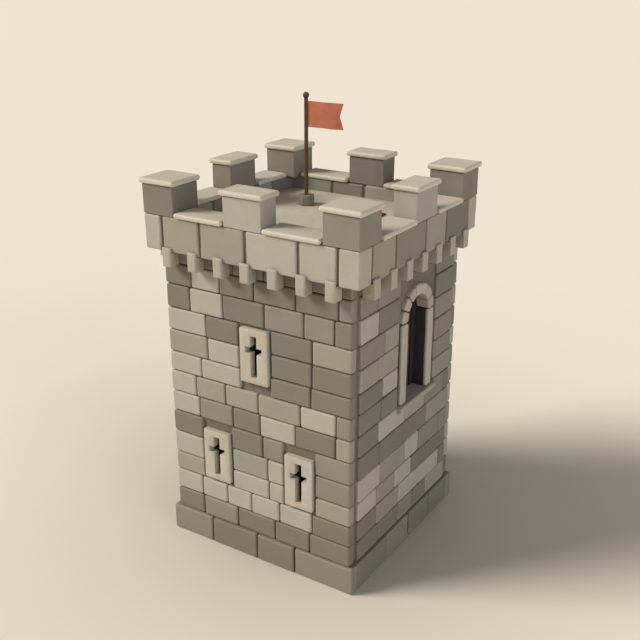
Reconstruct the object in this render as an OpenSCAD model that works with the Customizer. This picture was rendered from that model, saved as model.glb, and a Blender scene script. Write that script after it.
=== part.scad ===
// Square stone wall tower with a crenellated parapet on corbels, arrow loops in
// the front and back, a raised arched wall-walk doorway in each side, and a flagpole.
// Millimetres, +Z up. Origin on the ground at the centre of the plan, front face
// towards -Y, doorways towards +X and -X.

/* [Shaft] */
// Outside width of the square shaft
tower_w = 5000; // [4600:50:5600]
// Height of the shaft, from the ground to the underside of the parapet
shaft_h = 7270; // [7250:10:7800]
// Thickness of the walls
wall_t = 900; // [800:10:1000]
// Width of the ledge in the front and back walls on which the joists bear
ledge_w = 100; // [70:5:160]
// Depth of the bare wall left around the doorways and loops, behind the stones' faces
bare_t = 88; // [40:4:120]

/* [Plinth] */
// Height of the plinth course
plinth_h = 670; // [560:10:800]
// How far the plinth stands out from the shaft
plinth_out = 50; // [30:5:90]
// Bevel on the plinth's outer top edge
plinth_bevel = 50; // [20:5:55]
// Width of the footing ledge inside, on which the ground floor bears
footing_w = 100; // [60:5:160]

/* [Floors] */
// Thickness of the ground floor slabs
ground_slab_t = 150; // [100:5:200]
// Depth of the upper floor's joists
joist_h = 200; // [160:5:240]
// Width of the upper floor's joists
joist_w = 140; // [100:5:180]
// Number of upper floor joists
joist_n = 6; // [4:1:8]
// Thickness of the upper floor's boards
board_t = 45; // [30:5:60]
// Clearance between the boards and the walls
board_gap = 10; // [5:1:20]

/* [Arrow loops] */
// Width of a loop's stone plate
plate_w = 750; // [680:10:800]
// Height of a loop's stone plate
plate_h = 1270; // [1200:10:1320]
// Thickness of a loop's stone plate
plate_t = 160; // [120:5:200]
// How far a plate stands out from the wall face
plate_proud = 15; // [5:1:30]
// Rounding of the plate's outer corners
plate_r = 35; // [10:5:60]
// Width of the slit
slit_w = 60; // [45:1:80]
// Height of the slit
slit_h = 945; // [850:5:1000]
// Height of the slit's foot above the plate's foot
slit_foot = 165; // [130:5:200]
// Length of the slit's cross arms, tip to tip
arm_l = 385; // [320:5:420]
// Height of the cross arms' middle above the plate's foot
arm_z = 790; // [700:10:850]
// Width of the bare wall that a plate is set in
bare_w = 830; // [760:10:900]
// Bottom of the bare wall at the lower plates
low_bare_z = 1690; // [1600:10:1760]
// Height of the bare wall at the lower plates
low_bare_h = 1582; // [1300:2:1700]
// Bottom of the bare wall at the upper plate
high_bare_z = 4305; // [4200:5:4500]
// Height of the bare wall at the upper plate
high_bare_h = 1565; // [1300:5:1700]
// Foot of the two lower plates above the ground
low_plate_z = 1785; // [1700:5:1900]
// Distance of the lower loops from the middle of the wall
low_plate_x = 1137; // [1050:1:1200]
// Foot of the upper plate above the ground
high_plate_z = 4560; // [4400:10:4700]
// Width of an embrasure where it meets the plate
throat_w = 460; // [430:10:500]
// Width of an embrasure at the room side
splay_w = 900; // [700:10:1000]
// Free height left above and below the slit in the embrasure
splay_rim = 40; // [20:5:60]

/* [Doorways] */
// Distance of the doorways from the middle of the side walls, towards the back
door_y = 340; // [0:10:420]
// Height of the sill's top above the ground
sill_z = 3800; // [3700:10:3900]
// Height of the arch's springing above the sill's top
spring_h = 1950; // [1850:10:2000]
// Clear width between the jamb stones
door_w = 990; // [900:10:1020]
// Width of the jamb stones and of the arch ring
ring_w = 265; // [220:5:290]
// Width of the bare wall around a doorway, past the middle of the doorway
bare_half = 872; // [800:4:950]
// Depth of the arch stones behind the wall's face
arch_in = 330; // [250:5:340]
// How far the jamb stones stand out from the wall face
ring_out = 25; // [10:1:50]
// Rounding of the jamb stones' and arch stones' outer edges
ring_r = 45; // [20:5:60]
// Number of stones in the arch ring
arch_n = 7; // [5:2:11]
// Open joint between the arch stones
arch_joint = 14; // [8:1:24]
// Thickness of the sill slab
sill_t = 140; // [110:5:180]
// How far the sill slab stands out from the wall face
sill_out = 100; // [60:5:130]
// How far the sill slab runs past the jamb stones at each side
sill_over = 130; // [60:5:160]
// Depth of the door frame's front behind the wall's face
frame_in = 343; // [342:1:380]
// Width of the door frame's posts and head
frame_w = 140; // [100:5:170]
// Thickness of the door frame
frame_t = 45; // [30:5:60]
// Thickness of the door leaf
door_t = 60; // [45:5:80]
// Thickness of the timber lining of the doorway
lining_t = 55; // [40:5:70]
// How far the lining is set back behind the jamb stones' inner edges
lining_set = 5; // [0:1:20]
// Running gap between the leaf and the lining
leaf_gap = 6; // [3:1:10]
// Height of the leaf's hinge straps
strap_h = 70; // [50:5:90]
// Thickness of the leaf's hinge straps
strap_t = 10; // [6:1:14]
// Length of the strap hinges that shows beside the frame
strap_l = 460; // [300:10:560]
// Height of the lower strap above the sill
strap_low = 470; // [420:10:600]
// Height of the upper strap above the sill
strap_high = 1620; // [1400:10:1700]

/* [Parapet] */
// How far the parapet stands out from the shaft
parapet_out = 230; // [180:5:260]
// Height of the parapet course
parapet_h = 795; // [700:5:850]
// Thickness of the parapet
parapet_t = 600; // [560:5:660]
// Height of the deck below the top of the parapet
deck_drop = 305; // [250:5:350]
// Width of the roof beams
beam_w = 200; // [160:5:240]
// Depth of the roof beams
beam_h = 230; // [180:5:260]

/* [Corbels] */
// Number of corbels on each side
corbel_n = 7; // [5:2:9]
// Distance between the corbels
corbel_pitch = 698; // [600:2:720]
// Width of a corbel
corbel_w = 230; // [160:5:260]
// Height of a corbel's foot below the parapet
corbel_drop = 325; // [260:5:380]
// How far a corbel's nose rises in front of the parapet
nose_rise = 110; // [60:5:140]
// How far a corbel's nose stands out from the parapet face
nose_out = 70; // [40:5:90]
// Rounding of a corbel's edges
corbel_r = 35; // [15:5:50]

/* [Battlements] */
// Height of the merlons
merlon_h = 625; // [500:5:700]
// Width of the square corner merlons
corner_w = 850; // [780:10:900]
// Width of the middle merlons
middle_w = 975; // [900:5:1050]
// Depth of the middle merlons
middle_d = 560; // [500:5:600]
// Place of the front's middle merlon, right of the middle of that side
front_shift = -60; // [-200:5:200]
// Place of the right side's middle merlon, behind the middle of that side
right_shift = 100; // [-200:5:200]
// Place of the back's middle merlon, right of the middle as seen from behind
back_shift = -35; // [-200:5:200]
// Place of the left side's middle merlon, before the middle of that side
left_shift = -165; // [-200:5:200]
// Rounding of the merlons' upright edges
merlon_r = 25; // [10:5:40]
// Thickness of the merlon caps
cap_t = 95; // [70:5:120]
// How far the caps stand out from the merlons
cap_over = 62; // [40:2:80]
// Thickness of the crenel copings
coping_t = 95; // [70:5:120]
// How far the copings stand out from the parapet, front and back
coping_over = 62; // [40:2:80]
// Gap between a coping's end and the merlon beside it
coping_gap = 30; // [10:5:60]

/* [Flag] */
// Place of the flagpole left and behind the middle of the deck
pole_x = -800; // [-900:10:-700]
// Place of the flagpole behind the middle of the deck
pole_y = 800; // [700:10:900]
// Radius of the flagpole
pole_r = 46; // [35:1:60]
// Height of the finial's middle above the deck
finial_h = 2560; // [2300:10:2700]
// Radius of the finial
finial_r = 73; // [60:1:85]
// Radius of the pole's eight-sided stone socket, over its corners
socket_r = 188; // [150:2:220]
// Height of the pole's stone socket
socket_h = 245; // [180:5:300]
// Length of the flag, from the pole to its tips
flag_l = 945; // [800:5:1000]
// Height of the flag
flag_h = 590; // [500:5:650]
// Depth of the swallow-tail notch
notch_l = 100; // [60:5:200]
// Thickness of the flag with its folds
flag_t = 24; // [12:2:30]
// Distance of the flag's top below the finial's middle
flag_drop = 125; // [100:5:160]

/* [Roof hatch] */
// Place of the hatch's middle, to the right of the middle of the deck
hatch_x = 855; // [800:5:900]
// Place of the hatch's middle, behind the middle of the deck
hatch_y = 585; // [500:5:640]
// Width of the square hatch lid
hatch_w = 800; // [740:10:840]
// Thickness of the hatch lid
hatch_t = 50; // [40:5:60]
// How far the lid laps over the deck at each side of the opening
hatch_lap = 80; // [50:5:100]
// Radius of the hatch's lift ring
lift_ring_r = 60; // [45:5:75]
// Radius of the lift ring's bar
lift_bar_r = 8; // [6:1:10]

/* [Hidden] */
$fn = 32;
STONE = [0.55, 0.52, 0.45];
PALE = [0.72, 0.68, 0.60];
WOOD = [0.30, 0.20, 0.14];
DARK = [0.10, 0.09, 0.08];
IRON = [0.14, 0.13, 0.13];
CLOTH = [0.68, 0.26, 0.15];

half = tower_w / 2;                       // outer face of the shaft
room = half - wall_t;                     // inner face of the walls
footing = room - footing_w;               // inner face of the plinth
plinth_half = half + plinth_out;
parapet_half = half + parapet_out;
parapet_in = parapet_half - parapet_t;
parapet_top = shaft_h + parapet_h;
deck_z = parapet_top - deck_drop;
deck_under = shaft_h + beam_h;            // underside of the deck slab
merlon_top = parapet_top + merlon_h;
sill_foot = sill_z - sill_t;
boards_z = sill_z - board_t;              // underside of the upper floor's boards
ledge_z = boards_z - joist_h;             // ledge that carries the joists
upper_room = room + ledge_w;              // inner face of front and back above the ledge
spring_z = sill_z + spring_h;
ring_half = door_w / 2 + ring_w;          // outer edge of the jambs and the arch ring
rough_w = door_w + 2 * (lining_set + lining_t);
lined_w = rough_w - 2 * lining_t;
frame_y = frame_in - half;                // front of the frame, for a doorway in the front
leaf_y = frame_y + frame_t;               // outer face of the leaf
lining_y = leaf_y + door_t;               // back of the leaf and of the lining
frame_clear = lined_w - 2 * frame_w;
sill_half = ring_half + sill_over;
plate_pocket = plate_t - plate_proud;
corner_x = parapet_half - corner_w / 2;   // middle of a corner merlon
middle_y = middle_d / 2 - parapet_half;   // middle of the front's middle merlon
shifts = [front_shift, right_shift, back_shift, left_shift];
crenel_end = parapet_half - corner_w;     // inner face of the corner merlons
hatch_clear = hatch_w - 2 * hatch_lap;
trimmer = (hatch_clear + beam_w) / 2;     // beams beside the hatch, from its middle
beam_end = parapet_in - beam_w / 2;       // outermost beams
beam_bays = 4;
beam_xs = concat([beam_end, hatch_x + trimmer], [for (k = [0:beam_bays])
  hatch_x - trimmer - k * (hatch_x - trimmer + beam_end) / beam_bays]);
finial_z = deck_z + finial_h;
finial_seat = sqrt(pow(finial_r, 2) - pow(pole_r, 2));
flag_top = finial_z - flag_drop;

// block with sharp foot and bevelled upper edges, standing on z
module bevel_block(w, d, h, c) {
  intersection() {
    rotate([90, 0, 90]) translate([0, 0, -w / 2]) linear_extrude(w) bevel_outline(d, h, c);
    rotate([90, 0, 0]) translate([0, 0, -d / 2]) linear_extrude(d) bevel_outline(w, h, c);
  }
}
module bevel_outline(w, h, c) {
  polygon([[-w / 2, 0], [w / 2, 0], [w / 2, h - c], [w / 2 - c, h], [c - w / 2, h], [-w / 2, h - c]]);
}

// outline of a rectangle centred on the origin, with round corners
module round_rect(w, d, r) {
  square([w - 2 * r, d], center = true);
  square([w, d - 2 * r], center = true);
  for (x = [-1, 1], y = [-1, 1]) translate([x * (w / 2 - r), y * (d / 2 - r)]) circle(r);
}

// The modules below work on the front (-Y) side; side() turns the result.
// turns what faces the front to side i: 0 front, 1 right, 2 back, 3 left
module side(i) { rotate([0, 0, 90 * i]) children(); }

// upright outline, in x and z, made solid from y_in out to y_out
module upright(y_in, y_out) {
  translate([0, y_in, 0]) rotate([90, 0, 0]) linear_extrude(y_in - y_out) children();
}

// slab with rounded edges all round, standing on z = 0
module soft_slab(w, d, t, r) {
  intersection() {
    translate([0, 0, t / 2]) rotate([90, 0, 0]) linear_extrude(d, center = true) round_rect(w, t, r);
    translate([0, 0, t / 2]) rotate([90, 0, 90]) linear_extrude(w, center = true) round_rect(d, t, r);
    linear_extrude(t) round_rect(w, d, r);
  }
}

// square corner piece outside a quarter circle, to round a corner at its far end
module corner_cut(r) {
  difference() {
    square(r + 1);
    circle(r);
  }
}

// ---- plinth ----
module plinth_ring() {
  difference() {
    bevel_block(2 * plinth_half, 2 * plinth_half, plinth_h, plinth_bevel);
    translate([-footing, -footing, -1]) cube([2 * footing, 2 * footing, plinth_h + 2]);
    translate([-room, -room, plinth_h - ground_slab_t]) cube([2 * room, 2 * room, plinth_h]);
  }
}
module plinth_long() {
  intersection() {
    plinth_ring();
    translate([-plinth_half, -plinth_half, 0])
      cube([2 * plinth_half, plinth_half - footing, plinth_h]);
  }
}
module plinth_short() {
  intersection() {
    plinth_ring();
    translate([footing, -footing, 0]) cube([plinth_half - footing, 2 * footing, plinth_h]);
  }
}
module plinth_front() { color(STONE) plinth_long(); }
module plinth_back() { color(STONE) side(2) plinth_long(); }
module plinth_right() { color(STONE) plinth_short(); }
module plinth_left() { color(STONE) side(2) plinth_short(); }

// ---- front and back walls, with the embrasures of the loops ----
module plate_outline() { translate([0, plate_h / 2]) round_rect(plate_w, plate_h, plate_r); }
module slit_outline() {
  translate([-slit_w / 2, slit_foot]) square([slit_w, slit_h]);
  translate([-arm_l / 2, arm_z - slit_w / 2]) square([arm_l, slit_w]);
}
// bare wall around a plate, z0 and h its foot and height
module bare_cut(x, z0, h) {
  translate([x - bare_w / 2, -half - 1, z0]) cube([bare_w, bare_t + 1, h]);
}
module loop_cut(x, z) {
  throat_y = plate_pocket - half;
  translate([x, 0, z]) {
    upright(throat_y, -half - 1) plate_outline();
    translate([0, 0, slit_foot - splay_rim]) linear_extrude(slit_h + 2 * splay_rim)
      polygon([[-throat_w / 2, throat_y - 1], [throat_w / 2, throat_y - 1], [throat_w / 2, throat_y],
        [splay_w / 2, 1 - room], [-splay_w / 2, 1 - room], [-throat_w / 2, throat_y]]);
  }
}
// left half of the wall below the ledge, with one loop
module wall_left() {
  difference() {
    translate([-half, -half, plinth_h]) cube([half, wall_t, ledge_z - plinth_h]);
    bare_cut(-low_plate_x, low_bare_z, low_bare_h);
    loop_cut(-low_plate_x, low_plate_z);
  }
}
module wall_right() { mirror([1, 0, 0]) wall_left(); }
module wall_upper() {
  difference() {
    translate([-half, -half, ledge_z]) cube([tower_w, wall_t, shaft_h - ledge_z]);
    translate([-room, -upper_room, ledge_z - 1]) cube([2 * room, ledge_w + 1, shaft_h - ledge_z + 2]);
    bare_cut(0, high_bare_z, high_bare_h);
    loop_cut(0, high_plate_z);
  }
}
module front_wall_left() { color(STONE) wall_left(); }
module front_wall_right() { color(STONE) wall_right(); }
module front_wall_upper() { color(STONE) wall_upper(); }
module back_wall_left() { color(STONE) side(2) wall_left(); }
module back_wall_right() { color(STONE) side(2) wall_right(); }
module back_wall_upper() { color(STONE) side(2) wall_upper(); }

// ---- loops ----
module loop(x, z) {
  color(PALE) translate([x, 0, z]) upright(plate_pocket - half, -half - plate_proud)
    difference() {
      plate_outline();
      slit_outline();
    }
}
module front_loop_left() { loop(-low_plate_x, low_plate_z); }
module front_loop_right() { loop(low_plate_x, low_plate_z); }
module front_loop_top() { loop(0, high_plate_z); }
module back_loop_left() { side(2) loop(-low_plate_x, low_plate_z); }
module back_loop_right() { side(2) loop(low_plate_x, low_plate_z); }
module back_loop_top() { side(2) loop(0, high_plate_z); }

// ---- side walls, each with a doorway; x runs towards the back ----
module arched(w, h) {
  translate([-w / 2, 0]) square([w, h]);
  translate([0, h]) circle(w / 2);
}
module half_round(r) {
  intersection() {
    circle(r);
    translate([-r, 0]) square([2 * r, r]);
  }
}
module doorway_cut() {
  translate([door_y, 0, 0]) {
    translate([0, 0, sill_z]) upright(1 - room, -half - 1) arched(rough_w, spring_h);
    translate([-bare_half, -half - 1, sill_z]) cube([2 * bare_half, bare_t + 1, shaft_h]);
    translate([0, 0, spring_z]) upright(arch_in - half, -half - 1) half_round(ring_half);
    translate([-sill_half, -half - 1, sill_foot]) cube([2 * sill_half, wall_t + 2, sill_t]);
  }
}
module wall_piece(x0, x1, z0, z1) {
  difference() {
    translate([x0, -half, z0]) cube([x1 - x0, wall_t, z1 - z0]);
    doorway_cut();
  }
}
module wall_below() { wall_piece(-room, room, plinth_h, sill_foot); }
module wall_near() { wall_piece(-room, door_y - rough_w / 2, sill_foot, spring_z); }
module wall_far() { wall_piece(door_y + rough_w / 2, room, sill_foot, spring_z); }
module wall_over() { wall_piece(-room, room, spring_z, shaft_h); }
module left_side() { mirror([1, 0, 0]) side(1) children(); }
module right_wall_below() { color(STONE) side(1) wall_below(); }
module right_wall_near() { color(STONE) side(1) wall_near(); }
module right_wall_far() { color(STONE) side(1) wall_far(); }
module right_wall_over() { color(STONE) side(1) wall_over(); }
module left_wall_below() { color(STONE) left_side() wall_below(); }
module left_wall_near() { color(STONE) left_side() wall_near(); }
module left_wall_far() { color(STONE) left_side() wall_far(); }
module left_wall_over() { color(STONE) left_side() wall_over(); }

// ---- doorways: what follows is set in both side walls ----
module both_doorways() {
  side(1) translate([door_y, 0, 0]) children();
  left_side() translate([door_y, 0, 0]) children();
}
module door_sills() {
  color(PALE) both_doorways() translate([-sill_half, 0, 0]) rotate([90, 0, 90])
    linear_extrude(2 * sill_half) difference() {
      translate([-half - sill_out, sill_foot]) square([wall_t + sill_out, sill_t]);
      for (m = [0, 1]) translate([ring_r - half - sill_out, sill_z - sill_t / 2])
        mirror([0, m]) translate([0, sill_t / 2 - ring_r]) mirror([1, 0]) corner_cut(ring_r);
    }
}
// section of a jamb or arch stone, front edges rounded, depth measured behind the wall's face
module ring_section(depth) {
  difference() {
    translate([door_w / 2, -half - ring_out]) square([ring_w, depth + ring_out]);
    translate([ring_half - ring_r, ring_r - half - ring_out]) mirror([0, 1]) corner_cut(ring_r);
    translate([door_w / 2 + ring_r, ring_r - half - ring_out]) mirror([1, 0]) mirror([0, 1])
      corner_cut(ring_r);
  }
}
module door_jambs() {
  color(PALE) both_doorways() for (m = [0, 1]) mirror([m, 0, 0])
    translate([0, 0, sill_z]) linear_extrude(spring_h) ring_section(bare_t);
}
module arch_stone(a) {
  gap = arch_joint / ring_half * 180 / PI;
  rotate([90, 0, 0]) rotate([0, 0, a + gap / 2])
    rotate_extrude(angle = 180 / arch_n - gap, $fn = 96) mirror([0, 1]) ring_section(arch_in);
}
module door_arches() {
  color(PALE) both_doorways() translate([0, 0, spring_z])
    for (k = [0:arch_n - 1]) arch_stone(k * 180 / arch_n);
}
// ring of even width under an arch, open at its foot
module arch_band(w_out, w_in) {
  difference() {
    arched(w_out, spring_h);
    arched(w_in, spring_h);
    translate([-w_out, -w_out]) square([2 * w_out, w_out]);
  }
}
module door_linings() {
  color(DARK) both_doorways() translate([0, 0, sill_z]) {
    upright(lining_y, arch_in - half) arch_band(rough_w, lined_w);
    for (m = [0, 1]) mirror([m, 0, 0]) translate([lined_w / 2, bare_t - half, 0])
      cube([lining_t, arch_in - bare_t + 1, spring_h]);
    upright(leaf_y, frame_y) arch_band(lined_w + 1, frame_clear);
  }
}
module doors() {
  color(WOOD) both_doorways() translate([0, 0, sill_z + leaf_gap])
    upright(lining_y, leaf_y) arched(lined_w - 2 * leaf_gap, spring_h - leaf_gap);
}
module door_straps() {
  hinge_x = frame_clear / 2 - leaf_gap;
  color(IRON) both_doorways() for (z = [strap_low, strap_high])
    translate([hinge_x - strap_l, 0, sill_z + z - strap_h / 2]) upright(leaf_y, leaf_y - strap_t) {
      square([strap_l, strap_h]);
      translate([0, strap_h / 2]) circle(strap_h / 2);
    }
}

// ---- floors ----
module ground_floor() {
  color(STONE) translate([-room, -room, plinth_h - ground_slab_t])
    cube([2 * room, 2 * room, ground_slab_t]);
}
module upper_floor_joists() {
  span = 2 * room - joist_w;
  color(WOOD) for (k = [0:joist_n - 1])
    translate([k * span / (joist_n - 1) - room, -upper_room, ledge_z])
      cube([joist_w, 2 * upper_room, joist_h]);
}
module upper_floor_boards() {
  x = room - board_gap;
  y = upper_room - board_gap;
  color(WOOD) translate([-x, -y, boards_z]) cube([2 * x, 2 * y, board_t]);
}

// ---- corbels and parapet ----
// side and top outlines of a corbel whose back reaches a depth into the wall
module corbel_profile(depth) {
  tip = -parapet_half - nose_out;
  difference() {
    union() {
      translate([tip, shaft_h - corbel_drop]) square([depth - half - tip, corbel_drop]);
      translate([tip, shaft_h - 1]) square([nose_out, nose_rise + 1]);
    }
    translate([tip + corbel_r, shaft_h + nose_rise - corbel_r]) mirror([1, 0]) corner_cut(corbel_r);
    translate([tip + corbel_r, shaft_h - corbel_drop + corbel_r]) mirror([1, 0]) mirror([0, 1])
      corner_cut(corbel_r);
  }
}
module corbel_plan(depth) {
  tip = -parapet_half - nose_out;
  difference() {
    translate([-corbel_w / 2, tip]) square([corbel_w, depth - half - tip]);
    for (m = [0, 1]) mirror([m, 0]) translate([corbel_w / 2 - corbel_r, tip + corbel_r])
      mirror([0, 1]) corner_cut(corbel_r);
  }
}
module corbel(depth) {
  intersection() {
    rotate([90, 0, 90]) linear_extrude(corbel_w, center = true) corbel_profile(depth);
    translate([0, 0, shaft_h - corbel_drop]) linear_extrude(corbel_drop + nose_rise)
      corbel_plan(depth);
  }
}
// corbels of one side; those above a doorway at x reach back to the bare wall
module corbel_row(doorway_x = 2 * half) {
  for (k = [0:corbel_n - 1]) {
    x = (k - (corbel_n - 1) / 2) * corbel_pitch;
    translate([x, 0, 0]) corbel(abs(x - doorway_x) < bare_half ? bare_t : 0);
  }
}
module corbels_front() { color(PALE) corbel_row(); }
module corbels_right() { color(PALE) side(1) corbel_row(door_y); }
module corbels_back() { color(PALE) side(2) corbel_row(); }
module corbels_left() { color(PALE) side(3) corbel_row(-door_y); }
module parapet_long() {
  translate([-parapet_half, -parapet_half, shaft_h]) cube([2 * parapet_half, parapet_t, parapet_h]);
}
module parapet_short() {
  translate([-parapet_in, -parapet_half, shaft_h]) cube([2 * parapet_in, parapet_t, parapet_h]);
}
module parapet_front() { color(STONE) side(0) parapet_long(); }
module parapet_back() { color(STONE) side(2) parapet_long(); }
module parapet_right() { color(STONE) side(1) parapet_short(); }
module parapet_left() { color(STONE) side(3) parapet_short(); }

// ---- roof ----
module roof_beams() {
  color(WOOD) for (x = beam_xs) translate([x - beam_w / 2, -parapet_in, shaft_h])
    cube([beam_w, 2 * parapet_in, beam_h]);
}
module roof_deck() {
  color(PALE) difference() {
    translate([-parapet_in, -parapet_in, deck_under])
      cube([2 * parapet_in, 2 * parapet_in, deck_z - deck_under]);
    translate([hatch_x - hatch_clear / 2, hatch_y - hatch_clear / 2, deck_under - 1])
      cube([hatch_clear, hatch_clear, deck_z - deck_under + 2]);
  }
}

// ---- battlements ----
module on_corners(z) {
  for (i = [0:3]) side(i) translate([-corner_x, -corner_x, z]) children();
}
module on_middles(z) {
  for (i = [0:3]) side(i) translate([shifts[i], middle_y, z]) children();
}
module merlons() {
  color(STONE) {
    on_corners(parapet_top) linear_extrude(merlon_h) round_rect(corner_w, corner_w, merlon_r);
    on_middles(parapet_top) linear_extrude(merlon_h) round_rect(middle_w, middle_d, merlon_r);
  }
}
module merlon_caps() {
  r = 0.42 * cap_t;
  color(PALE) {
    on_corners(merlon_top) soft_slab(corner_w + 2 * cap_over, corner_w + 2 * cap_over, cap_t, r);
    on_middles(merlon_top) soft_slab(middle_w + 2 * cap_over, middle_d + 2 * cap_over, cap_t, r);
  }
}
// coping of one crenel, from x0 to x1 between two merlons
module coping(x0, x1) {
  translate([(x0 + x1) / 2, parapet_t / 2 - parapet_half, parapet_top])
    soft_slab(x1 - x0 - 2 * coping_gap, parapet_t + 2 * coping_over, coping_t, 0.42 * coping_t);
}
module copings() {
  color(PALE) for (i = [0:3]) side(i) {
    coping(-crenel_end, shifts[i] - middle_w / 2);
    coping(shifts[i] + middle_w / 2, crenel_end);
  }
}

// ---- flagpole ----
module flag_socket() {
  color(STONE) translate([pole_x, pole_y, deck_z]) linear_extrude(socket_h) difference() {
    circle(socket_r, $fn = 8);
    circle(pole_r);
  }
}
module flagpole() {
  color(WOOD) translate([pole_x, pole_y, deck_z]) cylinder(h = finial_h - finial_seat, r = pole_r);
}
module finial() {
  color(IRON) translate([pole_x, pole_y, finial_z]) difference() {
    sphere(finial_r, $fn = 48);
    translate([-finial_r, -finial_r, -finial_seat - finial_r]) cube([2 * finial_r, 2 * finial_r, finial_r]);
  }
}
module flag() {
  color(CLOTH) translate([pole_x + pole_r, pole_y + flag_t / 2, flag_top]) rotate([90, 0, 0])
    linear_extrude(flag_t)
      polygon([[0, 0], [flag_l, 0], [flag_l - notch_l, -flag_h / 2], [flag_l, -flag_h], [0, -flag_h]]);
}

// ---- roof hatch ----
module roof_hatch() {
  color(WOOD) translate([hatch_x, hatch_y, deck_z]) linear_extrude(hatch_t)
    round_rect(hatch_w, hatch_w, hatch_t / 4);
}
module hatch_ring() {
  color(IRON) translate([hatch_x, hatch_y, deck_z + hatch_t + lift_bar_r])
    rotate_extrude($fn = 48) translate([lift_ring_r, 0]) circle(lift_bar_r, $fn = 16);
}

plinth_front();
plinth_back();
plinth_left();
plinth_right();
front_wall_left();
front_wall_right();
front_wall_upper();
back_wall_left();
back_wall_right();
back_wall_upper();
right_wall_below();
right_wall_near();
right_wall_far();
right_wall_over();
left_wall_below();
left_wall_near();
left_wall_far();
left_wall_over();
front_loop_left();
front_loop_right();
front_loop_top();
back_loop_left();
back_loop_right();
back_loop_top();
door_sills();
door_jambs();
door_arches();
door_linings();
doors();
door_straps();
ground_floor();
upper_floor_joists();
upper_floor_boards();
corbels_front();
corbels_back();
corbels_left();
corbels_right();
parapet_front();
parapet_back();
parapet_left();
parapet_right();
roof_beams();
roof_deck();
merlons();
merlon_caps();
copings();
flag_socket();
flagpole();
finial();
flag();
roof_hatch();
hatch_ring();
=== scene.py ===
# %% [markdown]
# # Dressing a square wall tower in stone, timber and cloth
#
# The tower is already a set of measured solids: walls, plinth, corbels, parapet, merlons,
# doorways, floors, a flagpole. This lesson gives them their looks. Every separate stone of
# the walls is laid here, course by course, over the plain solids, and each gets its own
# tone, soft edges and slightly uneven face. All lengths are metres, +Z is up, the front of
# the tower looks towards -Y and one raised doorway towards +X.
#
# First the solids are loaded.

import math

import bmesh
import bpy
import numpy as np
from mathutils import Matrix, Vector


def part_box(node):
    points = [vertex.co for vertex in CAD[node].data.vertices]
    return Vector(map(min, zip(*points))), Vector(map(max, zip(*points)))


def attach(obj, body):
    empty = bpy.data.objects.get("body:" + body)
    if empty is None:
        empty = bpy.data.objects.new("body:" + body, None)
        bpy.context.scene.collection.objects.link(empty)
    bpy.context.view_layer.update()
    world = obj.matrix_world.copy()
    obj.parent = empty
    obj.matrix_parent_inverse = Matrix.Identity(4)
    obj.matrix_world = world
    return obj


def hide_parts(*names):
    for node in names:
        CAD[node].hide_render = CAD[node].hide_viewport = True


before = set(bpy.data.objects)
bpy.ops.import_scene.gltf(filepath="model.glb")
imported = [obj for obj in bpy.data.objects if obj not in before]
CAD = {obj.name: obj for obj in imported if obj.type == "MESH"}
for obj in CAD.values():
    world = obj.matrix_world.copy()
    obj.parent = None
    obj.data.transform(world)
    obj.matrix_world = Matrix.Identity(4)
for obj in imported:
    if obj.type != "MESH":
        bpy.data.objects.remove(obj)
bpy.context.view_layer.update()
rng = np.random.default_rng(1347)

# %% [markdown]
# ## The camera
#
# The camera stands to the right of the front, a little above the battlements, and looks
# down at the middle of the tower. A lens longer than normal keeps the upright edges nearly
# parallel, as they look from across a square.

# %% Camera
TARGET = Vector((0.0645, 0.0412, 5.233))
AZIMUTH, ELEVATION, DISTANCE = math.radians(32.599), math.radians(21.276), 22.078

lens = bpy.data.cameras.new("view")
lens.lens, lens.sensor_width = 52.334, 36.0
camera = bpy.data.objects.new("view", lens)
bpy.context.scene.collection.objects.link(camera)
back = Vector((math.sin(AZIMUTH) * math.cos(ELEVATION),
               -math.cos(AZIMUTH) * math.cos(ELEVATION), math.sin(ELEVATION)))
camera.location = TARGET + DISTANCE * back
camera.rotation_euler = (-back).to_track_quat("-Z", "Y").to_euler()
lens.clip_end = 2000
bpy.context.scene.camera = camera
bpy.context.scene.view_settings.view_transform = "Standard"
print("camera at", [round(v, 2) for v in camera.location])

# %% [markdown]
# ## Measures of the tower
#
# The solids know where everything is, so most places are read from their boxes. What is
# laid here and isn't in the solids, such as the height of each course of stones, is
# written down once.

# %% Measures
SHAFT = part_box("front_wall_upper")[1].x         # half the width of the shaft
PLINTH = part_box("plinth_front")[1].x            # half the width of the plinth
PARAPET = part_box("parapet_front")[1].x          # half the width of the parapet
PARAPET_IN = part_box("parapet_right")[0].x       # inner face of the parapet
SHAFT_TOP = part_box("parapet_front")[0].z
PARAPET_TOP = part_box("parapet_front")[1].z
PLINTH_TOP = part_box("plinth_front")[1].z
MORTAR = 0.088                                  # depth of the mortar behind the faces
CORE = SHAFT - MORTAR
print("shaft", round(SHAFT, 3), "parapet", round(PARAPET, 3), "up to", round(PARAPET_TOP, 3))

# %% [markdown]
# ## Building nodes with little code
#
# A material is a small graph of nodes. A few helpers keep the graphs readable: one adds a
# node and fills in its sockets, one starts a node group with named inputs and outputs, one
# starts a material and hands back its shader, and the rest are steps that many graphs take,
# such as a sum, a blend of two colours or a bump.

# %% Node helpers
def add(tree, kind, props=None, **sockets):
    made = tree.nodes.new("ShaderNode" + kind)
    for key, value in (props or {}).items():
        setattr(made, key, value)
    for key, value in sockets.items():
        socket = made.inputs[int(key[1:]) if key[0] == "i" and key[1:].isdigit() else key]
        if isinstance(value, bpy.types.NodeSocket):
            tree.links.new(value, socket)
        else:
            socket.default_value = value
    return made


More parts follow.
